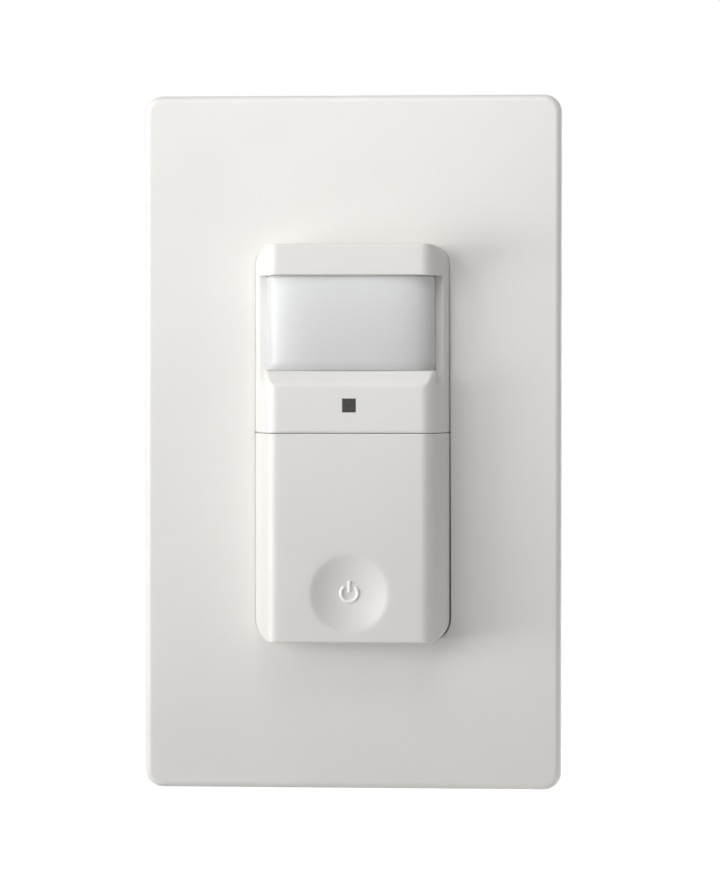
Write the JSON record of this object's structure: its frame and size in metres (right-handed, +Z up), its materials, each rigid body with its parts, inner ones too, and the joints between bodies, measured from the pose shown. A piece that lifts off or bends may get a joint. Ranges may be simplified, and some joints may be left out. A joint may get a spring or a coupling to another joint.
{
  "type": "motion sensor light switch",
  "caption": "Wall switch with a motion sensor behind a milky lens, an indicator window, a push pad with a finger dimple and a screwless face plate.",
  "frame": {"origin": "midway between the two wall box screws, on the wall's surface", "axes": "+X to the right seen from the front, -Y out of the wall towards the viewer, +Z up"},
  "size_m": [0.0706, 0.0464, 0.117],
  "materials": {
    "plate_white": "fine matte moulding",
    "frame_white": "matte moulding",
    "cover_white": "satin moulding",
    "pad_white": "satin moulding",
    "lens_milky": "milky polyethylene",
    "window_dark": "dark translucent",
    "steel": "zinc plated",
    "green_screw": "green dyed",
    "brass": "plain",
    "can_metal": "nickel plated",
    "black_plastic": "matte",
    "rear_charcoal": "fine texture",
    "board_green": "solder mask",
    "clear_lamp": "clear resin",
    "green_lamp": "tinted resin",
    "blue_plastic": "matte",
    "dial_white": "matte",
    "relay_blue": "smooth",
    "film_yellow": "smooth",
    "capacitor_sleeve": "shrink sleeve",
    "surge_blue": "dipped coating",
    "fuse_brown": "matte"
  },
  "bodies": {
    "base": {"snap_frame": "frame_white", "plate_screws": "steel", "yoke": "steel", "box_screws": "steel", "ground_screw": "green_screw", "front_cover": "cover_white", "lens": "lens_milky", "lens_retainer": "black_plastic", "indicator_window": "window_dark", "control_board": "board_green", "pir_sensor": "can_metal", "pir_filter": "window_dark", "pir_spacer": "black_plastic", "light_sensor": "clear_lamp", "indicator_led": "green_lamp", "tact_switch": "black_plastic", "dial_bodies": "blue_plastic", "board_link": "black_plastic", "power_board": "board_green", "relay": "relay_blue", "film_capacitor": "film_yellow", "electrolytic_capacitors": "capacitor_sleeve", "surge_absorber": "surge_blue", "rectifier": "black_plastic", "choke": "black_plastic", "fuse": "fuse_brown", "terminal_strips": "brass", "terminal_clamps": "steel", "terminal_screws": "brass", "rear_housing": "rear_charcoal", "housing_screws": "steel"},
    "face_plate": {"face_plate": "plate_white"},
    "pivot_pin": {"pivot_pin": "steel"},
    "push_pad": {"push_pad": "pad_white"},
    "tact_plunger": {"tact_plunger": "black_plastic"},
    "delay_dial": {"delay_dial": "dial_white"},
    "range_dial": {"range_dial": "dial_white"},
    "daylight_dial": {"daylight_dial": "dial_white"}
  },
  "joints": [
    {"name": "face_plate_off", "type": "slide", "parent": "base", "child": "face_plate", "axis": [0, -1, 0], "range_m": [0, 0.04]},
    {"name": "pad_press", "type": "hinge", "parent": "base", "child": "pivot_pin", "pos_m": [0, -0.0056, -0.0024], "axis": [1, 0, 0], "range_deg": [0, 1.4], "stiffness_Nm_per_rad": 1.8},
    {"name": "pad_off", "type": "slide", "parent": "pivot_pin", "child": "push_pad", "axis": [0, -1, 0], "range_m": [0, 0.02]},
    {"name": "plunger_press", "type": "slide", "parent": "base", "child": "tact_plunger", "axis": [0, 1, 0], "range_m": [0, 0.0006]},
    {"name": "delay_dial_turn", "type": "hinge", "parent": "base", "child": "delay_dial", "pos_m": [-0.0085, -0.004, -0.0108], "axis": [0, -1, 0], "range_deg": [-120, 120]},
    {"name": "range_dial_turn", "type": "hinge", "parent": "base", "child": "range_dial", "pos_m": [0, -0.004, -0.0108], "axis": [0, -1, 0], "range_deg": [-120, 120]},
    {"name": "daylight_dial_turn", "type": "hinge", "parent": "base", "child": "daylight_dial", "pos_m": [0.0085, -0.004, -0.0108], "axis": [0, -1, 0], "range_deg": [-120, 120]}
  ],
  "couplings": [
    {"joint": "plunger_press", "follows": "pad_press", "m_per_rad": 0.02265}
  ]
}
